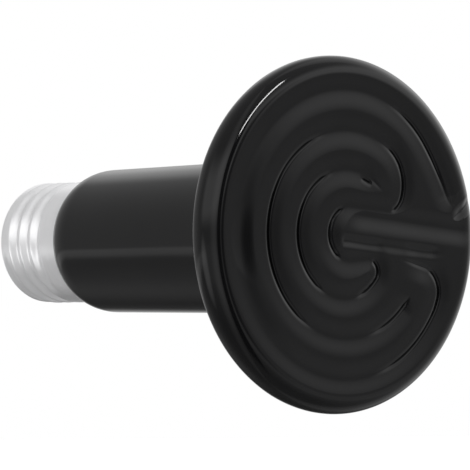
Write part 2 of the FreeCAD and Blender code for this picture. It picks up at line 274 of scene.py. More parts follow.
@dataclass
class Route:
    """A line on the emitter's face, in runs and turns."""

    x: float
    y: float
    heading: float
    spacing: float = 0.12 * MM
    points: list = field(default_factory=list)

    def __post_init__(self) -> None:
        """Start the line at its first point."""
        self.points.append((self.x, self.y))

    def forward(self) -> tuple:
        """Unit step of the present heading."""
        angle = math.radians(self.heading)
        return math.cos(angle), math.sin(angle)

    def run(self, length: float) -> "Route":
        """Go straight on.

        Args:
            length: Length of the run.

        Returns:
            The route itself.
        """
        ahead = self.forward()
        steps = max(1, round(length / self.spacing))
        for step in range(1, steps + 1):
            share = length * step / steps
            self.points.append((self.x + ahead[0] * share, self.y + ahead[1] * share))
        self.x, self.y = self.points[-1]
        return self

    def turn(self, radius: float, sweep: float) -> "Route":
        """Turn along an arc.

        Args:
            radius: Radius of the arc.
            sweep: Degrees turned, positive to the left.

        Returns:
            The route itself.
        """
        side = math.copysign(1.0, sweep)
        ahead = self.forward()
        centre = (self.x - side * ahead[1] * radius, self.y + side * ahead[0] * radius)
        steps = max(2, round(radius * math.radians(abs(sweep)) / self.spacing))
        start = math.atan2(self.y - centre[1], self.x - centre[0])
        for step in range(1, steps + 1):
            angle = start + math.radians(sweep) * step / steps
            self.points.append((centre[0] + radius * math.cos(angle), centre[1] + radius * math.sin(angle)))
        self.x, self.y = self.points[-1]
        self.heading += sweep
        return self


def fade_ends(points: np.ndarray, start_length: float, end_length: float) -> np.ndarray:
    """Share of full depth along a line that fades in at its start and out at its end.

    Args:
        points: The line's points.
        start_length: Length over which it fades in, 0 for none.
        end_length: Length over which it fades out, 0 for none.

    Returns:
        One share for each point.
    """
    steps = np.linalg.norm(np.diff(points, axis=0), axis=1)
    along = np.concatenate(([0.0], np.cumsum(steps)))
    share = np.ones(len(points))
    for distance, length in ((along, start_length), (along[-1] - along, end_length)):
        if length > 0:
            part = np.clip(distance / length, 0.0, 1.0)
            share *= part * part * (3 - 2 * part)
    return share


def path_object(name: str, points: np.ndarray, share: np.ndarray) -> bpy.types.Object:
    """Make a helper mesh of edges along a line, with each point's share of the groove's depth.

    Args:
        name: The helper's name.
        points: The line's points, in the frame's metres.
        share: Share of full depth at each point.

    Returns:
        The helper object, in the scene so that a modifier can read it.
    """
    mesh = bpy.data.meshes.new(name)
    edges = [(index, index + 1) for index in range(len(points) - 1)]
    mesh.from_pydata([tuple(point) for point in points], edges, [])
    mesh.attributes.new("share", "FLOAT", "POINT").data.foreach_set("value", share.astype(np.float32))
    helper = bpy.data.objects.new(name, mesh)
    bpy.context.collection.objects.link(helper)
    return helper


@dataclass
class Groove:
    """One groove pressed into a surface along a path."""

    name: str
    path: bpy.types.Object
    half_width: float
    depth: float
    section: GrooveSection

    def sizes(self) -> dict:
        """The groove's values.

        Returns:
            Input name of the depth group to value.
        """
        return {
            "Half Width": self.half_width,
            "Depth": self.depth,
            "Bottom Radius": self.section.bottom_radius,
            "Roundness": self.section.roundness,
        }


class GroovedSurface:
    """Geometry Nodes that press grooves into a mesh along paths."""

    def __init__(self) -> None:
        """Build the group that gives one groove's depth at each point."""
        self.depth_group = self.build_depth_group()

    @staticmethod
    def build_depth_group() -> bpy.types.NodeTree:
        """Build the group that turns the distance from a path into a depth.

        Returns:
            The group's tree.
        """
        nodes, given, result = new_group(
            "GeometryNodeTree", "Groove Depth",
            {
                "Path": ("NodeSocketObject", None),
                "Half Width": ("NodeSocketFloat", 0.004),
                "Depth": ("NodeSocketFloat", 0.001),
                "Bottom Radius": ("NodeSocketFloat", 0.0003),
                "Roundness": ("NodeSocketFloat", 0.0),
            },
            {"Depth": "NodeSocketFloat"},
        )
        path = nodes.fill(nodes.add("GeometryNodeObjectInfo"), Object=given.outputs["Path"])
        line = path.outputs["Geometry"]
        near = nodes.add("GeometryNodeProximity", target_element="EDGES")
        nodes.feed(near.inputs[0], line)
        bottom = given.outputs["Bottom Radius"]
        squares = [nodes.math("POWER", length, 2.0) for length in (near.outputs["Distance"], bottom)]
        away = nodes.math("SUBTRACT", nodes.math("SQRT", nodes.math("ADD", *squares)), bottom)
        reach = nodes.math("DIVIDE", away, given.outputs["Half Width"], clamp=True)
        bowl = nodes.math("POWER", nodes.math("SUBTRACT", 1.0, reach), 2.0)
        wave = nodes.math("MULTIPLY_ADD", nodes.math("COSINE", nodes.product(reach, math.pi)), 0.5, 0.5)
        section = nodes.blend(given.outputs["Roundness"], bowl, wave)
        nearest = nodes.fill(nodes.add("GeometryNodeSampleNearest", domain="POINT"), Geometry=line)
        named = nodes.fill(nodes.add("GeometryNodeInputNamedAttribute", data_type="FLOAT"), Name="share")
        sample = nodes.add("GeometryNodeSampleIndex", data_type="FLOAT", domain="POINT")
        nodes.fill(sample, Geometry=line, Value=named.outputs[0], Index=nearest.outputs[0])
        nodes.fill(result, Depth=nodes.product(section, given.outputs["Depth"], sample.outputs[0]))
        return nodes.tree

    @staticmethod
    def store_crease_shade(nodes: NodeTree, surface: object, creased: object) -> bpy.types.NodeSocket:
        """Store on a surface how strong the painted shade along the creases' bottoms is, for the glaze to
        read.

        Args:
            nodes: The tree to write to.
            surface: The surface's geometry.
            creased: Depth of the creases at each point.

        Returns:
            The geometry with the attribute.
        """
        shade_painted = nodes.add("GeometryNodeStoreNamedAttribute", data_type="FLOAT", domain="POINT")
        past = nodes.math("SUBTRACT", creased, CREASE_SHADE_START)
        share = nodes.math("DIVIDE", past, CREASE_SHADE_FULL - CREASE_SHADE_START, clamp=True)
        return nodes.fill(shade_painted, Geometry=surface, Name=CREASE_SHADE_ATTRIBUTE, Value=share).outputs[0]

    def press(
        self, base: bpy.types.Object, grooves: list, finish: bpy.types.Material, to_axis: bool = False,
    ) -> bpy.types.Object:
        """Press grooves into a mesh and turn the result into a plain mesh.

        Args:
            base: The smooth piece. It is replaced by the pressed one.
            grooves: The grooves to press.
            finish: The material of the whole piece.
            to_axis: Whether points move towards the axis, as both faces of a thin wall do, and not
                against the surface's normal.

        Returns:
            The pressed piece.
        """
        inputs = {"Geometry": ("NodeSocketGeometry", None), "Finish": ("NodeSocketMaterial", None)}
        for groove in grooves:
            inputs[groove.name + " Path"] = ("NodeSocketObject", None)
            for label in groove.sizes():
                inputs[f"{groove.name} {label}"] = ("NodeSocketFloat", 0.0)
        nodes, given, result = new_group(
            "GeometryNodeTree", base.name + " Grooves", inputs, {"Geometry": "NodeSocketGeometry"},
        )
        deepest, added, creased = 0.0, 0.0, 0.0
        for groove in grooves:
            cut = nodes.group(self.depth_group, "GeometryNodeGroup")
            for label in ("Path", *groove.sizes()):
                nodes.feed(cut.inputs[label], given.outputs[f"{groove.name} {label}"])
            depth = cut.outputs["Depth"]
            if groove.section in (GrooveSection.CREASE, GrooveSection.MARK):
                creased = nodes.math("MAXIMUM", creased, depth)
            if groove.section.deepens:
                added = nodes.math("MAXIMUM", added, depth)
            else:
                deepest = nodes.math("MAXIMUM", deepest, depth)
        outward = nodes.add("GeometryNodeInputNormal").outputs[0]
        if to_axis:
            place = nodes.add("GeometryNodeInputPosition").outputs[0]
            outward = nodes.vector("NORMALIZE", nodes.vector("MULTIPLY", place, (1.0, 0.0, 1.0)))
        inward = nodes.add("ShaderNodeVectorMath", operation="SCALE")
        nodes.feed(inward.inputs[0], outward)
        nodes.fill(inward, Scale=nodes.product(nodes.math("ADD", deepest, added), -1.0))
        # The creases' depth sets the painted shade along their bottoms.
        shade_painted = self.store_crease_shade(nodes, given.outputs["Geometry"], creased)
        moved = nodes.fill(nodes.add("GeometryNodeSetPosition"), Geometry=shade_painted, Offset=inward.outputs[0])
        real = nodes.fill(nodes.add("GeometryNodeRealizeInstances"), Geometry=moved.outputs[0])
        dressed = nodes.add("GeometryNodeSetMaterial")
        nodes.fill(dressed, Geometry=real.outputs[0], Material=given.outputs["Finish"])
        nodes.fill(result, Geometry=dressed.outputs[0])
        return self.apply(base, nodes.tree, grooves, finish)

    @staticmethod
    def apply(
        base: bpy.types.Object, tree: bpy.types.NodeTree, grooves: list, finish: bpy.types.Material,
    ) -> bpy.types.Object:
        """Run the tree on a piece, keep the resulting mesh and clear the helpers away.

        Args:
            base: The smooth piece.
            tree: The tree to run on it.
            grooves: The grooves whose values it takes.
            finish: The material of the whole piece.

        Returns:
            The pressed piece.
        """
        sockets = {item.name: item.identifier for item in tree.interface.items_tree if item.in_out == "INPUT"}
        modifier = base.modifiers.new("grooves", "NODES")
        modifier.node_group = tree
        modifier[sockets["Finish"]] = finish
        for groove in grooves:
            modifier[sockets[groove.name + " Path"]] = groove.path
            for label, value in groove.sizes().items():
                modifier[sockets[f"{groove.name} {label}"]] = value
        graph = bpy.context.evaluated_depsgraph_get()
        mesh = bpy.data.meshes.new_from_object(base.evaluated_get(graph))
        base.modifiers.clear()
        base.data = mesh
        for groove in grooves:
            bpy.data.objects.remove(groove.path)
        return base


def arc(centre: tuple, radius: float, start: float, end: float, steps: int) -> list:
    """Points of an arc in the plane of radius and height.

    Args:
        centre: Its centre.
        radius: Its radius.
        start: Angle of its first point, in degrees.
        end: Angle of its last point, in degrees.
        steps: Number of chords.

    Returns:
        The points, from start to end.
    """
    angles = [math.radians(start + (end - start) * step / steps) for step in range(steps + 1)]
    return [(centre[0] + radius * math.cos(angle), centre[1] + radius * math.sin(angle)) for angle in angles]


def soft_corner(before: tuple, corner: tuple, after: tuple, setback: float, steps: int) -> list:
    """Points of a soft curve that rounds a corner of a profile.

    Args:
        before: A point on the edge that comes in.
        corner: The corner.
        after: A point on the edge that goes out.
        setback: How far from the corner the curve starts and ends.
        steps: Number of chords.

    Returns:
        The points, from the incoming edge to the outgoing one.
    """
    corner_point = Vector(corner)
    back = (Vector(before) - corner_point).normalized() * setback
    ahead = (Vector(after) - corner_point).normalized() * setback
    shares = [step / steps for step in range(steps + 1)]
    return [tuple(corner_point + back * (1 - share) ** 2 + ahead * share ** 2) for share in shares]


def even_line(start: tuple, end: tuple, spacing: float) -> list:
    """Points along a straight line of a profile, without its first point.

    Args:
        start: Where the line starts.
        end: Where it ends.
        spacing: Greatest distance between points.

    Returns:
        The points after the start, up to the end.
    """
    steps = max(1, math.ceil(math.dist(start, end) / spacing))
    return [
        (start[0] + (end[0] - start[0]) * step / steps, start[1] + (end[1] - start[1]) * step / steps)
        for step in range(1, steps + 1)
    ]


def lathe(name: str, profile: list, angles: np.ndarray) -> bpy.types.Object:
    """Turn a profile about the emitter's axis into a closed mesh.

    Args:
        name: The piece's name.
        profile: Radius and height pairs. With both ends on the axis the ends close at a pole each,
            and otherwise the last point joins the first.
        angles: Angles round the axis, in radians, rising.

    Returns:
        The piece, smooth shaded, with its faces outward.
    """
    poles = profile[0][0] == 0 and profile[-1][0] == 0
    rings = profile[1:-1] if poles else profile
    count = len(angles)
    cosines, sines = np.cos(angles), np.sin(angles)
    points = np.concatenate([
        np.stack((radius * cosines, np.full(count, height), radius * sines), axis=1)
        for radius, height in rings
    ])
    faces = []
    pairs = len(rings) - 1 if poles else len(rings)
    for ring in range(pairs):
        low, high = ring * count, (ring + 1) % len(rings) * count
        for index in range(count):
            after = (index + 1) % count
            faces.append((low + index, high + index, high + after, low + after))
    if poles:
        first, last = len(points), len(points) + 1
        points = np.concatenate((points, [(0.0, profile[0][1], 0.0), (0.0, profile[-1][1], 0.0)]))
        top = (len(rings) - 1) * count
        faces += [(first, index, (index + 1) % count) for index in range(count)]
        faces += [(last, top + (index + 1) % count, top + index) for index in range(count)]
    mesh = bpy.data.meshes.new(name)
    mesh.from_pydata(points.tolist(), [], faces)
    mesh.validate()
    mesh.shade_smooth()
    piece = bpy.data.objects.new(name, mesh)
    bpy.context.collection.objects.link(piece)
    return piece


def full_turn(count: int) -> np.ndarray:
    """Even angles round a full turn.

    Args:
        count: Number of angles.

    Returns:
        The angles in radians.
    """
    return np.arange(count) * (2 * math.pi / count)


class Unevenness:
    """Shader group of the small unevenness that glaze, rolled metal and glass share."""

    def __init__(self) -> None:
        """Build the group."""
        nodes, given, result = new_group(
            "ShaderNodeTree", "Unevenness",
            {
                "Vector": ("NodeSocketVector", None),
                "Wave Scale": ("NodeSocketFloat", 60.0),
                "Wave Height": ("NodeSocketFloat", 0.1),
                "Grain Scale": ("NodeSocketFloat", 1500.0),
                "Grain Height": ("NodeSocketFloat", 0.01),
                "Roughness": ("NodeSocketFloat", 0.1),
                "Roughness Spread": ("NodeSocketFloat", 0.05),
            },
            {"Roughness": "NodeSocketFloat", "Height": "NodeSocketFloat", "Mottle": "NodeSocketFloat"},
        )
        patterns, heights = [], []
        for name, detail in (("Wave", 1.5), ("Grain", 3.0)):
            noise = nodes.add("ShaderNodeTexNoise")
            scale = given.outputs[name + " Scale"]
            nodes.fill(noise, Vector=given.outputs["Vector"], Scale=scale, Detail=detail)
            patterns.append(noise.outputs[0])
            heights.append(nodes.product(noise.outputs[0], given.outputs[name + " Height"]))
        wave, grain = patterns
        spread = nodes.product(nodes.math("SUBTRACT", grain, 0.5), given.outputs["Roughness Spread"])
        roughness = nodes.math("ADD", spread, given.outputs["Roughness"], clamp=True)
        nodes.fill(result, Roughness=roughness, Height=nodes.math("ADD", *heights), Mottle=wave)
        self.tree = nodes.tree


@dataclass(frozen=True)
class Finish:
    """One material: its colour, how it shines and how uneven it is."""

    name: str
    colour: tuple
    mottle: tuple
    metallic: float = 0.0
    roughness: float = 0.3
    roughness_spread: float = 0.1
    wave_scale: float = 60.0
    wave_height: float = 0.0
    grain_scale: float = 1500.0
    grain_height: float = 0.1
    bump_distance: float = 0.1 * MM
    specular: float = 0.5
    # Whether the creases get a painted shade line in the glaze.
    paint_crease_shade: bool = False
    stretch: tuple = (1.0, 1.0, 1.0)

    def build(self, unevenness: Unevenness) -> bpy.types.Material:
        """Make the material.

        Args:
            unevenness: The shared group of small unevenness.

        Returns:
            The material.
        """
        material = bpy.data.materials.new(self.name)
        material.use_nodes = True
        nodes = NodeTree(material.node_tree)
        shader = material.node_tree.nodes["Principled BSDF"]
        place = nodes.add("ShaderNodeTexCoord").outputs["Object"]
        turned = nodes.fill(nodes.add("ShaderNodeMapping"), Vector=place, Scale=self.stretch)
        group = nodes.group(
            unevenness.tree, "ShaderNodeGroup", Vector=turned.outputs[0], Wave_Scale=self.wave_scale,
            Wave_Height=self.wave_height, Grain_Scale=self.grain_scale, Grain_Height=self.grain_height,
            Roughness=self.roughness, Roughness_Spread=self.roughness_spread,
        )
        bump = nodes.add("ShaderNodeBump")
        nodes.fill(bump, Height=group.outputs["Height"], Distance=self.bump_distance)
        colour = nodes.mix_colour(group.outputs["Mottle"], (*self.colour, 1.0), (*self.mottle, 1.0))
        metallic = self.metallic
        if self.paint_crease_shade:
            # Painted shade along the creases: a black metal mirrors nothing, so the line stays as dark as a
            # crease that sees only itself.
            line = nodes.add("ShaderNodeAttribute", attribute_name=CREASE_SHADE_ATTRIBUTE)
            metallic = nodes.product(line.outputs["Fac"], CREASE_SHADE_STRENGTH)
        nodes.fill(
            shader, Base_Color=colour, Metallic=metallic, Specular_IOR_Level=self.specular,
            Roughness=group.outputs["Roughness"], Normal=bump.outputs[0],
        )
        return material


FINISHES = (
    Finish(
        "black_glaze", (0.0028, 0.0028, 0.0030), (0.0048, 0.0048, 0.0051), roughness=0.07,
        roughness_spread=0.04, wave_scale=110.0, wave_height=0.3, grain_scale=2600.0, grain_height=0.004,
        bump_distance=0.05 * MM, specular=0.28, paint_crease_shade=True,
    ),
    Finish(
        "shell_metal", (0.9, 0.9, 0.91), (0.84, 0.84, 0.85), metallic=0.68, roughness=0.31,
        roughness_spread=0.12, wave_scale=220.0, wave_height=0.2, grain_scale=900.0, grain_height=0.04,
        bump_distance=0.04 * MM, stretch=(1.0, 5.0, 1.0),
    ),
    Finish(
        "black_glass", (0.006, 0.006, 0.008), (0.011, 0.011, 0.014), roughness=0.12, wave_scale=300.0,
        wave_height=0.3, grain_height=0.02,
    ),
    Finish(
        "contact_brass", (0.66, 0.49, 0.22), (0.55, 0.40, 0.18), metallic=1.0, roughness=0.32,
        wave_scale=400.0, wave_height=0.2, grain_height=0.08,
    ),
    Finish(
        "solder", (0.52, 0.52, 0.53), (0.42, 0.42, 0.43), metallic=1.0, roughness=0.38, wave_scale=500.0,
        wave_height=0.6, grain_height=0.1,
    ),
    Finish("resistance_wire", (0.16, 0.15, 0.14), (0.10, 0.09, 0.085), metallic=0.8, roughness=0.55),
    Finish("nickel_wire", (0.55, 0.53, 0.49), (0.46, 0.44, 0.41), metallic=1.0, roughness=0.35),
    Finish("white_ceramic", (0.66, 0.63, 0.57), (0.58, 0.55, 0.49), roughness=0.6, grain_height=0.3),
    Finish("cement", (0.42, 0.38, 0.32), (0.33, 0.30, 0.25), roughness=0.85, grain_height=0.8),
)


def build_finishes() -> dict:
    """Make every material once.

    Returns:
        Material slot name to material.
    """
    unevenness = Unevenness()
    return {finish.name: finish.build(unevenness) for finish in FINISHES}


def dress(piece: bpy.types.Object, material: bpy.types.Material) -> None:
    """Give a piece one material.

    Args:
        piece: The piece or carried-over CAD node.
        material: Its material.
    """
    piece.data.materials.clear()
    piece.data.materials.append(material)


def hand_over(piece: bpy.types.Object, slot: str, *nodes: str) -> None:
    """Put a finished piece on the emitter's body and hide the CAD nodes that it stands for.

    Args:
        piece: The finished piece.
        slot: The record's material slot. It is not used.
        nodes: The CAD nodes that it replaces.
    """
    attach(piece, BODY)
    if nodes:
        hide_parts(*nodes)
    log.info("%s: %d faces", piece.name, len(piece.data.polygons))


@dataclass(frozen=True)
class Cut:
    """One groove of the relief, still flat.

    Its fades are the lengths, in millimetres, over which it comes in and goes out. A crease may be left out
    of the face's left side.
    """

    name: str
    route: Route
    fades: tuple
    reach: float
    depth: float
    section: GrooveSection
    left_side: bool = True


def straight_route(x: float, y: float, heading: float, length: float) -> Route:
    """Make a straight route, given in millimetres and degrees."""
    return Route(x * MM, y * MM, heading).run(length * MM)


@dataclass
class GlazedBody:
    """The cast ceramic: disc with its serpentine face, neck, seat for the shell and spigot."""

    disc_radius: float = 37.5 * MM
    front_edge: float = 4.0 * MM
    rim_thickness: float = 7.1 * MM
    back_edge: float = 3.0 * MM
    back_rise: float = 4.5 * MM
    neck_blend: float = 8.0 * MM
    neck_front_radius: float = 16.7 * MM
    neck_middle: tuple = (16.0 * MM, -40.0 * MM)
    neck_spacing: float = 30 * MM
    neck_end_radius: float = 15.36 * MM
    shoulder: float = 8.6 * MM
    shoulder_overrun: float = 2.7 * MM
    seat_radius: float = 13.6 * MM
    spigot_radius: float = 11.5 * MM
    spigot_length: float = 13.0 * MM
    bore_radius: float = 9.2 * MM
    face_thickness: float = 10.0 * MM
    clock_angle: float = 4.5
    valley_reach: float = 3.95 * MM
    valley_depth: float = 0.25 * MM
    crease_reach: float = 0.8 * MM
    crease_depth: float = 0.22 * MM
    crease_level: float = 0.96
    crease_level_fade: float = 0.18
    crease_side_fade: float = 5.0 * MM
    crease_last_stretch: float = 15.0 * MM
    foot_reach: float = 1.6 * MM
    outer_start: tuple = (30.6 * MM, 8.3 * MM, 158.0)
    outer_lead: tuple = ((3.0 * MM, -40.0), (60.0 * MM, 12.0), (27.0 * MM, 50.0))
    outer_valley: float = 30.2 * MM
    outer_trail: tuple = ((28.4 * MM, 63.0), (14.0 * MM, 12.0))
    lower_tip: tuple = (5.3 * MM, 95.0)
    left_shoulder: tuple = (155.0, 245.0, 66.0)
    left_shoulder_inset: float = 0.8 * MM
    third_valley: float = 21.7 * MM
    second_valley: float = 13.5 * MM
    rib_end_valley: float = 5.7 * MM
    rib_offset: float = 0.2 * MM
    rib_end: float = 0.9 * MM
    inner_start: float = -30.0
    upper_leave: float = 62.0
    upper_lead: float = 9.0 * MM
    upper_tip: float = 4.0 * MM
    small_tip_rise: float = 10.0
    small_leave: float = -100.0
    small_lead: float = 11.2 * MM
    small_tip: float = 2.6 * MM
    ring_end: float = 44.0
    notch_start: tuple = (38.0 * MM, 13.0 * MM)
    notch_end: tuple = (28.9 * MM, 5.2 * MM)
    fine_sector: tuple = (-56.0, 62.0)
    fine_angles: int = 300
    plain_angles: int = 180
    face_spacing: float = 0.28 * MM
    crease_spacing: float = 0.14 * MM
    outer_drift: float = 1.3 * MM

    def __post_init__(self) -> None:
        """Take the overall length from the frame."""
        self.face_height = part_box("ceramic_body")[0].y

    def angles(self) -> np.ndarray:
        """Angles round the axis, closer together where the ridges turn back.

        Returns:
            The angles in radians.
        """
        start, end = (math.radians(value - self.clock_angle) for value in self.fine_sector)
        fine = np.linspace(start, end, self.fine_angles, endpoint=False)
        plain = np.linspace(end, start + 2 * math.pi, self.plain_angles, endpoint=False)
        return np.concatenate((fine, plain))

    def profile(self) -> list:
        """Outline from the middle of the face round the outside and down the bore.

        Returns:
            Radius and height pairs.
        """
        face = self.face_height
        flat = self.disc_radius - self.front_edge
        back = face + self.rim_thickness
        neck_front = (self.neck_front_radius, back + self.back_rise)
        shoulder = (self.neck_end_radius, self.shoulder_overrun)
        rim_back = (self.disc_radius, back)
        points = [(0.0, face)]
        inward = self.crease_reach
        for valley in (self.rib_end_valley, self.second_valley, self.third_valley, self.outer_valley):
            if valley == self.outer_valley:
                inward += self.outer_drift
            points += even_line(points[-1], (valley - inward, face), self.face_spacing)
            points += even_line(points[-1], (valley + self.crease_reach, face), self.crease_spacing)
        points += even_line(points[-1], (flat, face), self.face_spacing)
        points += arc((flat, face + self.front_edge), self.front_edge, -90, 0, 12)[1:]
        points += soft_corner((self.disc_radius, face), rim_back, neck_front, self.back_edge, 7)
        points += soft_corner(rim_back, neck_front, shoulder, self.neck_blend, 12)
        points += even_line(points[-1], self.neck_middle, self.neck_spacing)
        round_end = soft_corner(neck_front, shoulder, (0.0, self.shoulder_overrun), self.shoulder, 16)
        points += [point for point in round_end if point[1] < 0]
        points += self.hidden_end()
        return points

    def hidden_end(self) -> list:
        """Seat, spigot and bore, which the cap covers.

        Returns:
            Radius and height pairs from the seat to the bore's floor.
        """
        floor = self.face_height + self.face_thickness
        return [
            (self.seat_radius, 0.0), (self.spigot_radius, 0.0), (self.spigot_radius, self.spigot_length),
            (self.bore_radius, self.spigot_length), (self.bore_radius, floor), (0.0, floor),
        ]

    def on_face(self, cut: Cut) -> bpy.types.Object:
        """Lay a cut's route on the face, turned to the relief's clock angle.

        Args:
            cut: The cut.

        Returns:
            The helper object.
        """
        flat = np.array(cut.route.points)
        turn = math.radians(self.clock_angle)
        across = flat[:, 0] * math.cos(turn) + flat[:, 1] * math.sin(turn)
        up = flat[:, 1] * math.cos(turn) - flat[:, 0] * math.sin(turn)
        points = np.stack((across, np.full(len(flat), self.face_height), up), axis=1)
        return path_object(cut.name, points, self.depth_share(cut))

    def depth_share(self, cut: Cut) -> np.ndarray:
        """Share of full depth along a cut. A crease has none where it runs level.

        Args:
            cut: The cut.

        Returns:
            One share for each point.
        """
        flat = np.array(cut.route.points)
        share = fade_ends(flat, cut.fades[0] * MM, cut.fades[1] * MM)
        if cut.section is not GrooveSection.CREASE:
            return share
        step = np.gradient(flat, axis=0)
        level = np.abs(step[:, 0]) / np.linalg.norm(step, axis=1)
        steep = np.clip((self.crease_level - level) / self.crease_level_fade, 0.0, 1.0)
        if not cut.left_side:
            steep *= np.clip(flat[:, 0] / self.crease_side_fade, 0.0, 1.0)
            # Its last stretch is creased whichever way it runs.
            steep = np.maximum(steep, 1.0 - fade_ends(flat, 0.0, self.crease_last_stretch))
        return share * steep * steep * (3 - 2 * steep)

    def outer_valley_route(self) -> Route:
        """Valley between the rim ring and the second ring, ending round the lower finger.

        Returns:
            The route, from the notch round to the finger's inner side.
        """
        route = Route(*self.outer_start).run(1.4 * MM)
        for radius, sweep in (*self.outer_lead, (self.outer_valley, 180.0), *self.outer_trail):
            route.turn(radius, sweep)
        return route.run(0.5 * MM).turn(*self.lower_tip).run(8.0 * MM)

    def left_shoulder_route(self) -> Route:
        """Stretch of the outer valley, on the left, where the second ring rolls down more deeply.

        Returns:
            The route.
        """
        place, heading, sweep = self.left_shoulder
        start = math.radians(place)
        radius = self.outer_valley - self.left_shoulder_inset
        return Route(radius * math.cos(start), radius * math.sin(start), heading).turn(radius, sweep)

    def inner_valley_route(self) -> Route:
        """Valley round the third ring, the upper finger, the rib's end and the small finger.

        Returns:
            The route.
        """
        leave = self.upper_leave
        start, edge = math.radians(self.inner_start), math.radians(leave)
        ring, lead, tip = self.third_valley, self.upper_lead, self.upper_tip
        rib_edge = self.rib_offset + self.rib_end_valley
        route = Route(ring * math.cos(start), ring * math.sin(start), self.inner_start - 90.0)
        route.turn(ring, leave - self.inner_start - 360.0)
        rise = (rib_edge + tip - math.sin(edge) * (ring - lead)) / (lead - tip)
        switch = math.degrees(math.asin(rise))
        route.turn(lead, switch - leave)
        route.turn(tip, -90.0 - switch)
        route.run(route.x - self.rib_end)
        route.turn(self.rib_end_valley, 180.0 + self.small_tip_rise)
        route.heading = self.small_tip_rise
        return self.round_small_finger(route)

    def round_small_finger(self, route: Route) -> Route:
        """Run on to the small finger and turn round its tip, as far as the inner ring.

        Args:
            route: The route so far.

        Returns:
            The same route, finished.
        """
        tip, lead = self.small_tip, self.small_lead
        leave = math.radians(self.small_leave)
        inset = self.second_valley - lead
        middle = (inset * math.cos(leave), inset * math.sin(leave))
        ahead = route.forward()
        offset = (route.x + ahead[1] * tip - middle[0], route.y - ahead[0] * tip - middle[1])
        along = offset[0] * ahead[0] + offset[1] * ahead[1]
        span = along ** 2 - offset[0] ** 2 - offset[1] ** 2 + (lead - tip) ** 2
        run = math.sqrt(span) - along
        join = math.degrees(math.atan2(offset[1] + ahead[1] * run, offset[0] + ahead[0] * run))
        return route.run(run).turn(tip, join - route.heading - 90.0).turn(lead, self.small_leave - join)

    def ring_valley_route(self, before: Route) -> Route:
        """Valley that goes on from the small finger round the outside of the inner ring.

        Args:
            before: The valley that leads up to it.

        Returns:
            The route, which dies out inside the upper finger.
        """
        sweep = self.ring_end - self.small_leave - 360.0
        return Route(before.x, before.y, before.heading).turn(self.second_valley, sweep)

    def notch_route(self) -> Route:
        """Dent that comes in from the rim above the rib and meets the outer valley.

        Returns:
            The route.
        """
        start, end = self.notch_start, self.notch_end
        heading = math.degrees(math.atan2(end[1] - start[1], end[0] - start[0]))
        return Route(*start, heading).run(math.dist(start, end))

    def cuts(self) -> tuple:
        """The relief's grooves: valleys, their creases, the rib's channel and foot, a mark and the notch.

        Returns:
            The cuts.
        """
        outer, inner = self.outer_valley_route(), self.inner_valley_route()
        ring, shoulder = self.ring_valley_route(inner), self.left_shoulder_route()
        valley = (self.valley_reach, self.valley_depth, GrooveSection.VALLEY)
        crease = (self.crease_reach, self.crease_depth, GrooveSection.CREASE)
        foot, fold = self.foot_reach, GrooveSection.FOLD
        rib_channel = straight_route(-3.0, 4.5, -0.8, 42.0)
        rib_foot = straight_route(-1.5, -1.3, -0.4, 30.0)
        beside_small_finger = straight_route(-1.5, -1.3, -0.4, 15.0)
        beside_lower_finger = straight_route(12.0, -1.4, -0.4, 16.0)
        inside_upper_finger = straight_route(2.9, 12.25, -17.7, 3.6)
        return (
            Cut("Outer Valley", outer, (5.0, 8.0), *valley),
            Cut("Inner Valley", inner, (4.0, 0.0), *valley),
            Cut("Ring Valley", ring, (0.0, 9.0), *valley),
            Cut("Outer Crease", outer, (15.0, 10.0), *crease, left_side=False),
            Cut("Inner Crease", inner, (4.0, 0.0), *crease),
            Cut("Ring Crease", ring, (0.0, 9.0), *crease),
            Cut("Left Shoulder", shoulder, (17.0, 17.0), 4.2 * MM, 0.40 * MM, GrooveSection.WAVE),
            Cut("Rib Channel", rib_channel, (8.0, 8.0), 4.0 * MM, 0.27 * MM, GrooveSection.WAVE),
            Cut("Rib Foot", rib_foot, (1.0, 4.0), foot, 0.11 * MM, fold),
            Cut("Inner Foot", beside_small_finger, (1.0, 6.0), foot, 0.22 * MM, fold),
            Cut("Outer Foot", beside_lower_finger, (8.0, 4.5), foot, 0.2 * MM, fold),
            Cut("Finger Mark", inside_upper_finger, (1.2, 1.2), *crease[:2], GrooveSection.MARK),
            Cut("Notch", self.notch_route(), (0.0, 4.0), 1.9 * MM, 0.6 * MM, GrooveSection.DENT),
        )

    def build(self, grooves: GroovedSurface, glaze: bpy.types.Material) -> bpy.types.Object:
        """Turn the body and press the relief into its face.

        Args:
            grooves: The builder of pressed grooves.
            glaze: The glaze.

        Returns:
            The finished piece.
        """
        base = lathe("glazed_body", self.profile(), self.angles())
        pressed = [
            Groove(cut.name, self.on_face(cut), cut.reach, cut.depth, cut.section) for cut in self.cuts()
        ]
        return grooves.press(base, pressed, glaze)


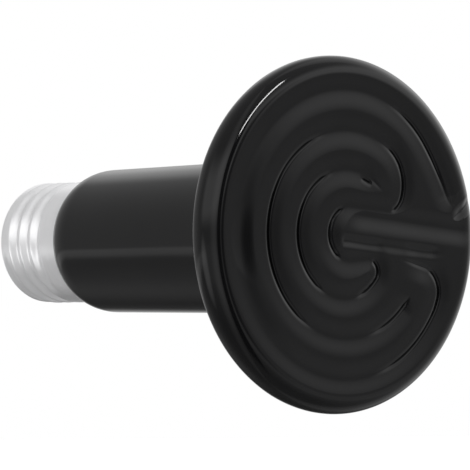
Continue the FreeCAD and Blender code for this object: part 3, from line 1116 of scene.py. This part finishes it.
@dataclass
class ThreadedShell:
    """The rolled screw shell: plain skirt, rounded thread and a turned-in end with a hole."""

    wall: float = 0.3 * MM
    rim_inside: float = 0.04 * MM
    rim_softness: tuple = (0.06 * MM, 0.03 * MM)
    rim_height: float = 0.12 * MM
    end_round: float = 2.5 * MM
    inner_end: float = 0.5 * MM
    hole_radius: float = 8.2 * MM
    hole_softness: float = 0.05 * MM
    thread_depth: float = 1.07 * MM
    pitch: float = 3.629 * MM
    first_root: float = 7.2 * MM
    first_angle: float = 177.0
    turns_before: float = 0.22
    turns_after: float = 3.05
    quarters_in: float = 1.1
    quarters_out: float = 1.2
    helix_points: int = 1200
    angle_count: int = 300
    spacing: float = 0.22 * MM
    flat_spacing: float = 1.5 * MM

    def __post_init__(self) -> None:
        """Take the outer sizes from the frame."""
        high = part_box("screw_shell")[1]
        self.radius = high.x
        self.length = high.y

    def profile(self) -> list:
        """Closed outline of the plain shell, up its outside and back down its inside.

        Returns:
            Radius and height pairs.
        """
        outer = self.radius
        inner = outer - self.wall
        flat = outer - self.end_round
        bend = self.length - self.end_round
        tight = self.end_round - self.wall
        hole, inside = self.hole_radius, self.length - self.wall
        soft, soft_height = self.rim_softness
        points = [(inner, self.rim_inside), (outer - self.wall / 2, 0.0)]
        points += [(outer - soft, soft_height), (outer, self.rim_height)]
        points += even_line(points[-1], (outer, bend), self.spacing)
        points += arc((flat, bend), self.end_round, 0, 90, 10)[1:]
        points += even_line(points[-1], (hole, self.length), self.flat_spacing)
        points += [(hole - self.hole_softness, self.length - self.wall / 2), (hole, inside)]
        points += even_line(points[-1], (flat, inside), self.flat_spacing)
        points += arc((flat, bend), tight, 90, 0, 8)[1:]
        points += even_line(points[-1], (inner, self.inner_end), self.spacing * 2)
        return points

    def helix(self, name: str) -> bpy.types.Object:
        """Line along the thread's root on the crest cylinder: right-handed about the axis.

        Args:
            name: Name of the helper.

        Returns:
            The helper object.
        """
        turns = np.linspace(-self.turns_before, self.turns_after, self.helix_points)
        angles = np.radians(self.first_angle) - turns * 2 * math.pi
        heights = self.first_root + turns * self.pitch
        points = np.stack((self.radius * np.cos(angles), heights, self.radius * np.sin(angles)), axis=1)
        quarter = math.pi * self.radius / 2
        share = fade_ends(points, quarter * self.quarters_in, quarter * self.quarters_out)
        return path_object(name, points, share)

    def build(self, grooves: GroovedSurface, metal: bpy.types.Material) -> bpy.types.Object:
        """Turn the shell and roll its thread.

        Args:
            grooves: The builder of pressed grooves.
            metal: The shell's metal.

        Returns:
            The finished piece.
        """
        base = lathe("threaded_shell", self.profile(), full_turn(self.angle_count))
        thread = Groove("Thread", self.helix("Thread"), self.pitch / 2, self.thread_depth, GrooveSection.WAVE)
        return grooves.press(base, [thread], metal, to_axis=True)


@dataclass
class CapEnd:
    """What closes the shell: black glass, brass contact and a drop of solder, with the cement inside."""

    glass_inner_radius: float = 9.8 * MM
    glass_hole_radius: float = 8.2 * MM
    glass_low: float = 17.1 * MM
    glass_step: float = 20.1 * MM
    glass_bulge: tuple = (7.9 * MM, 0.6 * MM)
    glass_crown: tuple = (5.6 * MM, 5.2 * MM)
    glass_setback: float = 2.2 * MM
    contact_radius: float = 4.9 * MM
    solder_radius: float = 2.5 * MM
    solder_corner: float = 1.9 * MM
    solder_flat: float = 0.9 * MM
    solder_setback: float = 1.0 * MM
    cement_radius: float = 11.78 * MM
    cement_inner_radius: float = 11.5 * MM
    angle_count: int = 128

    def __post_init__(self) -> None:
        """Take the heights from the frame."""
        self.shell_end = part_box("screw_shell")[1].y
        self.contact_low, self.contact_high = (corner.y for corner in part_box("centre_contact"))
        self.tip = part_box("solder_tip")[1].y

    def glass(self) -> bpy.types.Object:
        """The black glass between the shell and the contact, bulged and softly edged.

        Returns:
            The piece.
        """
        top, hole, inner = self.contact_low, self.glass_hole_radius, self.glass_inner_radius
        bulge, drop = self.glass_bulge
        outer_crown, inner_crown = self.glass_crown
        profile = [(0.0, self.glass_low), (inner, self.glass_low), (inner, self.glass_step)]
        profile += [(hole, self.glass_step), (hole, self.shell_end)]
        crown = (outer_crown, top)
        profile += soft_corner(profile[-1], (bulge, top - drop), crown, self.glass_setback, 10)
        profile += [(inner_crown, top), (0.0, top)]
        return lathe("cap_glass", profile, full_turn(self.angle_count))

    def contact(self) -> bpy.types.Object:
        """The brass plate under the solder, with a rolled edge.

        Returns:
            The piece.
        """
        low, high, radius = self.contact_low, self.contact_high, self.contact_radius
        edge = (high - low) / 2
        profile = [(0.0, low)] + arc((radius - edge, low + edge), edge, -90, 90, 8) + [(0.0, high)]
        return lathe("contact_plate", profile, full_turn(self.angle_count))

    def solder(self) -> bpy.types.Object:
        """The domed drop of solder on the plate.

        Returns:
            The piece.
        """
        low, radius, tip = self.contact_high, self.solder_radius, self.tip
        profile = [(0.0, low), (radius, low)]
        corner, flat = (self.solder_corner, tip), (self.solder_flat, tip)
        profile += soft_corner((radius, low), corner, flat, self.solder_setback, 10)
        profile += [(0.0, tip)]
        return lathe("solder_drop", profile, full_turn(self.angle_count))

    def cement(self) -> bpy.types.Object:
        """The cement between the spigot and the thread's roots.

        Returns:
            The piece.
        """
        low, high = (corner.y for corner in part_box("cap_cement"))
        inner, outer = self.cement_inner_radius, self.cement_radius
        profile = [(inner, low), (outer, low), (outer, high), (inner, high)]
        return lathe("cement_filling", profile, full_turn(self.angle_count))

    def build(self, finishes: dict) -> None:
        """Make and dress the four pieces.

        Args:
            finishes: Material slot name to material.
        """
        pieces = (
            (self.glass(), "black_glass", "cap_insulator"),
            (self.contact(), "contact_brass", "centre_contact"),
            (self.solder(), "solder", "solder_tip"),
            (self.cement(), "cement", "cap_cement"),
        )
        for piece, slot, node in pieces:
            dress(piece, finishes[slot])
            hand_over(piece, slot, node)


def dress_inner_parts(finishes: dict) -> None:
    """Give the CAD nodes that stay inside the emitter their materials.

    Args:
        finishes: Material slot name to material.
    """
    slots = {
        "heating_coil": "resistance_wire",
        "lead_to_contact": "nickel_wire",
        "lead_to_shell": "nickel_wire",
        "sleeve_on_contact_lead": "white_ceramic",
        "sleeve_on_shell_lead": "white_ceramic",
    }
    for node, slot in slots.items():
        dress(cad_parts[node], finishes[slot])
        log.info("%s: dressed", node)


@dataclass(frozen=True)
class Look:
    """The direction looked in: its vector, its angle about the vertical and its parts, as sockets."""

    direction: object
    turn: object
    across: object
    away: object
    up: object


@dataclass
class Studio:
    """White studio: floor, surround, lamp and the camera at the photograph's angle.

    A band of light or dark has four edges: where it starts, where it is full, where it starts to fall and
    where it ends.
    """

    floor_height: float = -0.075
    floor_half: float = 3.0
    floor_glow: float = 0.62
    room_level: float = 0.46
    above_band: tuple = (0.02, 0.24, 0.45, 0.75)
    above_level: float = 0.95
    low_front_band: tuple = (-0.5, -0.35, -0.15, -0.03)
    low_front_level: float = 0.15
    left_band: tuple = (-1.1, -0.6, -0.45, -0.27)
    left_level: float = 0.4
    right_band: tuple = (1.15, 1.5, 1.9, 2.3)
    right_level: float = 0.35
    strip_band: tuple = (-0.32, -0.23, -0.18, -0.12)
    strip_level: float = 0.45
    low_left_direction: tuple = (-0.92, 0.17, -0.34)
    low_left_level: float = 0.9
    rear_level: float = 0.4
    rear_glow: float = 0.08
    below_level: float = 0.5
    wide_turn: tuple = (-0.27, -0.20, 0.08, 0.18)
    wide_height: tuple = (-0.85, -0.65, 0.65, 0.85)
    narrow_turn: tuple = (0.20, 0.30, 0.44, 0.67)
    narrow_height: tuple = (-0.35, -0.15, 0.25, 0.45)
    narrow_darkness: float = 0.85
    camera_place: tuple = (-0.8452, -1.0297, -0.0324)
    camera_forward: tuple = (0.6510, 0.7587, 0.0254)
    focal_length: float = 466.9
    lamp_target: tuple = (0.0, -0.04, 0.0)

    def build_camera(self) -> None:
        """Place the camera, level with the emitter and to the left of its face."""
        data = bpy.data.cameras.new("camera")
        data.lens = self.focal_length
        data.sensor_width = 36.0
        data.clip_start, data.clip_end = 0.01, 50.0
        camera = bpy.data.objects.new("camera", data)
        forward = Vector(self.camera_forward).normalized()
        right = forward.cross(Vector((0, 0, 1))).normalized()
        up = right.cross(forward)
        rotation = Matrix((right, up, -forward)).transposed()
        camera.matrix_world = Matrix.Translation(self.camera_place) @ rotation.to_4x4()
        bpy.context.collection.objects.link(camera)
        bpy.context.scene.camera = camera

    def build_surround(self) -> None:
        """White to the camera. To the emitter it is a dim room with bright and dark panels round it."""
        world = bpy.data.worlds.new("surround")
        bpy.context.scene.world = world
        world.use_nodes = True
        nodes = NodeTree(world.node_tree)
        direction = nodes.add("ShaderNodeTexCoord").outputs["Generated"]
        parts = nodes.add("ShaderNodeSeparateXYZ")
        nodes.feed(parts.inputs[0], direction)
        across, away, up = parts.outputs
        turn = nodes.math("ARCTAN2", across, nodes.product(away, -1.0))
        look = Look(direction, turn, across, away, up)
        light = nodes.math("ADD", self.room_level, self.bright_panels(nodes, look))
        undimmed = nodes.math("SUBTRACT", 1.0, self.dark_panels(nodes, look))
        light = nodes.product(light, self.light_below(nodes, look), undimmed)
        seen = nodes.add("ShaderNodeLightPath").outputs["Is Camera Ray"]
        background = world.node_tree.nodes["Background"]
        nodes.fill(background, Color=(1.0, 1.0, 1.0, 1.0), Strength=nodes.math("MAXIMUM", light, seen))

    @staticmethod
    def band(nodes: NodeTree, value: object, edges: tuple) -> object:
        """A band of values that is 1 inside, 0 outside and soft at both edges.

        Args:
            nodes: The tree to write to.
            value: The value to test.
            edges: Where it starts, where it is full, where it starts to fall and where it ends.

        Returns:
            The band's output socket.
        """
        low, low_full, high_full, high = edges
        rise = nodes.ramp(value, low, low_full, 0.0, 1.0)
        return nodes.product(rise, nodes.ramp(value, high_full, high, 1.0, 0.0))

    def bright_panels(self, nodes: NodeTree, look: Look) -> object:
        """The bright panels: above and below the front, at the sides, low on the left and at the rear.

        Args:
            nodes: The tree to write to.
            look: The direction looked in.

        Returns:
            The panels' light.
        """
        turn, away, up = look.turn, look.away, look.up
        front = nodes.ramp(away, 0.15, 0.6, 1.0, 0.0)
        total = nodes.product(self.band(nodes, up, self.above_band), self.above_level, front)
        low_front = nodes.product(self.band(nodes, up, self.low_front_band), self.low_front_level, front)
        left = nodes.product(self.band(nodes, turn, self.left_band), self.left_level)
        right = nodes.product(self.band(nodes, turn, self.right_band), self.right_level)
        behind = nodes.ramp(turn, -2.0, -1.2, 1.0, 0.0)
        low_strip = nodes.product(self.band(nodes, up, self.strip_band), self.strip_level, behind)
        sky = nodes.product(
            nodes.ramp(up, 0.1, 0.4, 0.0, 1.0), nodes.ramp(turn, 2.7, 3.0, 1.0, 0.0),
            nodes.ramp(turn, 0.0, 0.3, 0.0, 1.0),
        )
        rear_light = nodes.math("MULTIPLY_ADD", sky, self.rear_level, self.rear_glow)
        rear = nodes.product(nodes.ramp(away, 0.3, 0.7, 0.0, 1.0), rear_light)
        towards = nodes.vector("DOT_PRODUCT", look.direction, self.low_left_direction)
        low_left = nodes.ramp(towards, 0.92, 0.985, 0.0, self.low_left_level)
        for light in (low_front, left, right, low_strip, rear, low_left):
            total = nodes.math("ADD", total, light)
        return total

    def dark_panels(self, nodes: NodeTree, look: Look) -> object:
        """The dark panels that the face mirrors: a wide, high one in front and a narrow, lower one beside it.

        Args:
            nodes: The tree to write to.
            look: The direction looked in.

        Returns:
            How much they take from the light.
        """
        wide_height, narrow_height = (
            self.band(nodes, look.up, edges) for edges in (self.wide_height, self.narrow_height)
        )
        wide = nodes.product(self.band(nodes, look.turn, self.wide_turn), wide_height)
        narrow = nodes.product(self.band(nodes, look.turn, self.narrow_turn), self.narrow_darkness)
        return nodes.math("ADD", wide, nodes.product(narrow, narrow_height))

    def light_below(self, nodes: NodeTree, look: Look) -> object:
        """How much of the light is left towards the floor, in front and at the rear.

        Args:
            nodes: The tree to write to.
            look: The direction looked in.

        Returns:
            The share that is left.
        """
        front = nodes.ramp(look.up, -0.8, -0.35, self.below_level, 1.0)
        shaded = nodes.ramp(look.across, -0.1, 0.4, 0.4, 0.85)
        taken = nodes.product(nodes.ramp(look.up, -0.4, -0.1, 1.0, 0.0), shaded)
        rear = nodes.math("SUBTRACT", 1.0, taken)
        return nodes.blend(nodes.ramp(look.away, 0.15, 0.6, 0.0, 1.0), front, rear)

    def build_floor(self) -> None:
        """A wide white floor well below the emitter, white to the camera except in shadow."""
        mesh = bpy.data.meshes.new("floor")
        half = self.floor_half
        corners = [(-half, -half), (half, -half), (half, half), (-half, half)]
        mesh.from_pydata([(x, y, self.floor_height) for x, y in corners], [], [(0, 1, 2, 3)])
        floor = bpy.data.objects.new("floor", mesh)
        bpy.context.collection.objects.link(floor)
        material = bpy.data.materials.new("white_floor")
        material.use_nodes = True
        nodes = NodeTree(material.node_tree)
        path = nodes.add("ShaderNodeLightPath")
        shader = nodes.fill(
            material.node_tree.nodes["Principled BSDF"], Base_Color=(0.86, 0.86, 0.86, 1.0), Roughness=0.9,
            Specular_IOR_Level=0.0, Emission_Color=(1.0, 1.0, 1.0, 1.0),
            Emission_Strength=nodes.product(path.outputs["Is Camera Ray"], self.floor_glow),
        )
        clear = nodes.add("ShaderNodeBsdfTransparent")
        choice = nodes.add("ShaderNodeMixShader")
        sources = (path.outputs["Is Glossy Ray"], shader.outputs[0], clear.outputs[0])
        for socket, source in zip(choice.inputs, sources):
            nodes.feed(socket, source)
        nodes.fill(material.node_tree.nodes["Material Output"], Surface=choice.outputs[0])
        floor.data.materials.append(material)

    def add_lamp(self, name: str, place: tuple, along: tuple, size: tuple, radiance: float) -> None:
        """Add a soft rectangular lamp that faces the emitter.

        Args:
            name: The lamp's name.
            place: Where it stands.
            along: Direction of its long side.
            size: Its length and width.
            radiance: Its brightness as seen.
        """
        data = bpy.data.lights.new(name, "AREA")
        data.shape = "RECTANGLE"
        data.size, data.size_y = size
        data.energy = radiance * math.pi * size[0] * size[1]
        lamp = bpy.data.objects.new(name, data)
        back = (Vector(place) - Vector(self.lamp_target)).normalized()
        side = (Vector(along) - back * Vector(along).dot(back)).normalized()
        rotation = Matrix((side, back.cross(side), back)).transposed()
        lamp.matrix_world = Matrix.Translation(place) @ rotation.to_4x4()
        bpy.context.collection.objects.link(lamp)

    def build(self) -> None:
        """Set up the whole studio."""
        bpy.context.scene.view_settings.view_transform = "Standard"
        self.build_camera()
        self.build_surround()
        self.build_floor()
        self.add_lamp(
            "overhead_lamp", place=(0.056, -0.78, 0.737), along=(0.335, 0.308, 0.267), size=(0.55, 0.07),
            radiance=36.0,
        )


def main() -> None:
    """Build the studio and every piece, in order."""
    logging.basicConfig(level=logging.INFO, format="%(name)s: %(message)s")
    Studio().build()
    finishes = build_finishes()
    grooves = GroovedSurface()
    hand_over(GlazedBody().build(grooves, finishes["black_glaze"]), "black_glaze", "ceramic_body")
    hand_over(ThreadedShell().build(grooves, finishes["shell_metal"]), "shell_metal", "screw_shell")
    CapEnd().build(finishes)
    dress_inner_parts(finishes)


if __name__ == "__main__":
    main()
